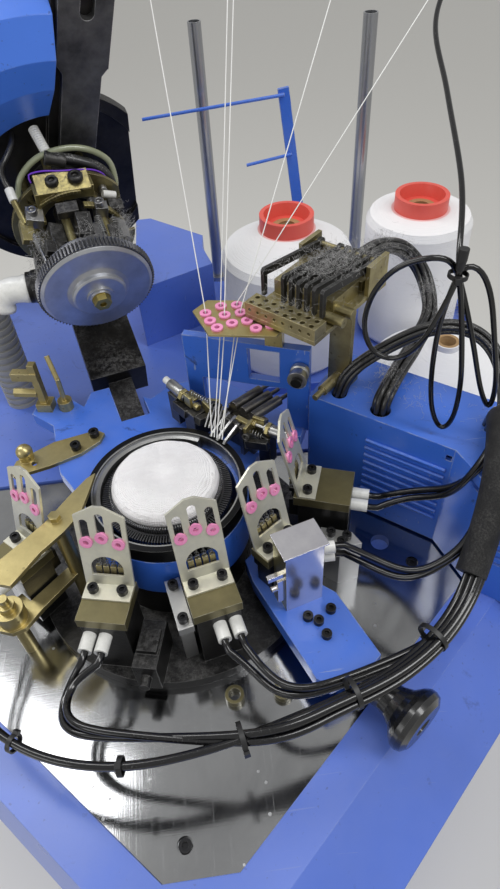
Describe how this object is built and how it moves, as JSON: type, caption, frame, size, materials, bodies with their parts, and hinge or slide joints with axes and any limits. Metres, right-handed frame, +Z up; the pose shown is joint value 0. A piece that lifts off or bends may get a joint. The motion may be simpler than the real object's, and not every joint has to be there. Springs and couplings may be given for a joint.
{
  "type": "circular knitting machine",
  "caption": "Small-diameter circular sock knitting machine: dial head swung up behind a ring of thread-eye feeder brackets on a blue cast bed with polished plate.",
  "frame": {"origin": "on the needle cylinder's axis at floor level, on the underside of the floor plate", "axes": "+Z up along the needle cylinder's axis, -Y towards the operator at the front, +X to the operator's right"},
  "size_m": [0.71, 0.895, 1.452],
  "materials": {
    "blackened_plate": "matt black paint",
    "rim_paint": "satin periwinkle blue enamel",
    "blue_casting": "satin blue enamel on castings",
    "bright_steel": "polished stainless steel",
    "needle_steel": "bright polished needles",
    "dark_steel": "oiled dark tool steel",
    "dial_steel": "ground grey steel",
    "finger_steel": "warm bright steel",
    "grey_poles": "plain grey steel",
    "black_cams": "oil blackened",
    "black_casting": "satin black with oil and lint",
    "black_screws": "black oxide",
    "black_rubber": "matt",
    "black_plastic": "glossy phenolic",
    "lever_black": "black with grey lint",
    "cream_sheet": "thin cream coating on sheet metal",
    "bronze_anodised": "bronze anodised",
    "pink_ceramic": "glossy pink",
    "white_plastic": "moulded",
    "yellow_brass": "passivated, olive yellow",
    "white_yarn": "fine white yarn",
    "white_fabric": "fine single jersey",
    "black_hose": "glossy black polyurethane hoses and cables",
    "grey_hose": "grey plastic"
  },
  "bodies": {
    "frame": {"base_plate": "blackened_plate", "cabinet": "rim_paint", "bed_frame": "rim_paint", "bed_plate": "bright_steel", "cap_screws": "black_screws", "cable_box": "blue_casting", "cone_tray": "rim_paint", "creel_poles": "grey_poles", "guide_bracket": "blue_casting", "yarn_stand": "grey_poles", "yarn_cones": "white_yarn", "cam_box": "black_cams", "feeder_table": "blue_casting", "outer_ring": "black_cams", "sinker_cap": "bright_steel", "drive_belt": "black_rubber", "drive_motor": "blackened_plate", "front_arm": "blue_casting", "eye_brackets": "cream_sheet", "feeder_blocks": "bronze_anodised", "eyelets": "pink_ceramic", "hose_connectors": "white_plastic", "sensor_box": "bright_steel", "eye_plate": "yellow_brass", "comb_bar": "yellow_brass", "lever_housing": "yellow_brass", "brass_upright": "yellow_brass", "finger_block": "dark_steel", "hinge_bracket": "black_casting", "suction_line": "grey_hose", "brass_plate": "yellow_brass", "brass_arm": "yellow_brass", "harness": "black_hose", "yarn_strands": "white_yarn"},
    "cylinder": {"needle_cylinder": "bright_steel", "needles": "needle_steel", "sinkers": "dark_steel", "knitted_fabric": "white_fabric", "cylinder_pulley": "dark_steel"},
    "motor_rotor": {"motor_pulley": "dark_steel"},
    "head": {"head_hood": "blue_casting", "head_body": "black_casting", "head_frame": "yellow_brass", "slotted_plate": "black_casting", "dial_cam": "dark_steel", "head_hoses": "grey_hose"},
    "dial": {"saw_ring": "dark_steel", "dial_disc": "dial_steel"},
    "knob": {"arm_knob": "black_plastic"},
    "roller": {"guide_roller": "bright_steel"},
    "lever_1": {"lever_1": "lever_black"},
    "lever_2": {"lever_2": "lever_black"},
    "lever_3": {"lever_3": "lever_black"},
    "lever_4": {"lever_4": "lever_black"},
    "lever_5": {"lever_5": "lever_black"},
    "lever_6": {"lever_6": "lever_black"},
    "lever_7": {"lever_7": "lever_black"},
    "finger_1": {"yarn_finger_1": "finger_steel"},
    "finger_2": {"yarn_finger_2": "finger_steel"},
    "finger_3": {"yarn_finger_3": "finger_steel"}
  },
  "joints": [
    {"name": "cylinder_spin", "type": "hinge", "parent": "frame", "child": "cylinder", "pos_m": [0, 0, 1.01], "axis": [0, 0, 1], "continuous": true},
    {"name": "motor_spin", "type": "hinge", "parent": "frame", "child": "motor_rotor", "pos_m": [0, 0.33, 0.808], "axis": [0, 0, 1], "continuous": true},
    {"name": "head_tilt", "type": "hinge", "parent": "frame", "child": "head", "pos_m": [-0.03756, 0.14522, 0.924], "axis": [0.9681, 0.2504, 0], "range_deg": [0, 71], "deforming": ["knitted_fabric"]},
    {"name": "dial_spin", "type": "hinge", "parent": "head", "child": "dial", "pos_m": [-0.04569, 0.17667, 1.09383], "axis": [-0.2367, 0.9154, 0.3256], "continuous": true},
    {"name": "knob_spin", "type": "hinge", "parent": "frame", "child": "knob", "pos_m": [0.134, -0.15, 0.936], "axis": [0.5878, -0.809, 0], "continuous": true},
    {"name": "roller_spin", "type": "hinge", "parent": "frame", "child": "roller", "pos_m": [0.13162, 0.0781, 1.054], "axis": [-0.3875, -0.9219, 0], "continuous": true},
    {"name": "lever_1_lift", "type": "hinge", "parent": "frame", "child": "lever_1", "pos_m": [0.16204, 0.15087, 1.137], "axis": [-0.6947, 0.7193, 0], "range_deg": [0, 20]},
    {"name": "lever_2_lift", "type": "hinge", "parent": "frame", "child": "lever_2", "pos_m": [0.17635, 0.13605, 1.137], "axis": [-0.6947, 0.7193, 0], "range_deg": [0, 20]},
    {"name": "lever_3_lift", "type": "hinge", "parent": "frame", "child": "lever_3", "pos_m": [0.18163, 0.13059, 1.137], "axis": [-0.6947, 0.7193, 0], "range_deg": [0, 20]},
    {"name": "lever_4_lift", "type": "hinge", "parent": "frame", "child": "lever_4", "pos_m": [0.18691, 0.12512, 1.137], "axis": [-0.6947, 0.7193, 0], "range_deg": [0, 20]},
    {"name": "lever_5_lift", "type": "hinge", "parent": "frame", "child": "lever_5", "pos_m": [0.19219, 0.11965, 1.137], "axis": [-0.6947, 0.7193, 0], "range_deg": [0, 20]},
    {"name": "lever_6_lift", "type": "hinge", "parent": "frame", "child": "lever_6", "pos_m": [0.19747, 0.11419, 1.137], "axis": [-0.6947, 0.7193, 0], "range_deg": [0, 20]},
    {"name": "lever_7_lift", "type": "hinge", "parent": "frame", "child": "lever_7", "pos_m": [0.20275, 0.10872, 1.137], "axis": [-0.6947, 0.7193, 0], "range_deg": [0, 20]},
    {"name": "finger_1_lift", "type": "hinge", "parent": "frame", "child": "finger_1", "pos_m": [0.05978, 0.06499, 1.016], "axis": [-0.6691, 0.7431, 0], "range_deg": [0, 12]},
    {"name": "finger_2_lift", "type": "hinge", "parent": "frame", "child": "finger_2", "pos_m": [0.06514, 0.05904, 1.016], "axis": [-0.6691, 0.7431, 0], "range_deg": [0, 12]},
    {"name": "finger_3_lift", "type": "hinge", "parent": "frame", "child": "finger_3", "pos_m": [0.07049, 0.0531, 1.016], "axis": [-0.6691, 0.7431, 0], "range_deg": [0, 12]}
  ],
  "couplings": [
    {"joint": "motor_spin", "follows": "cylinder_spin", "ratio": 2}
  ]
}
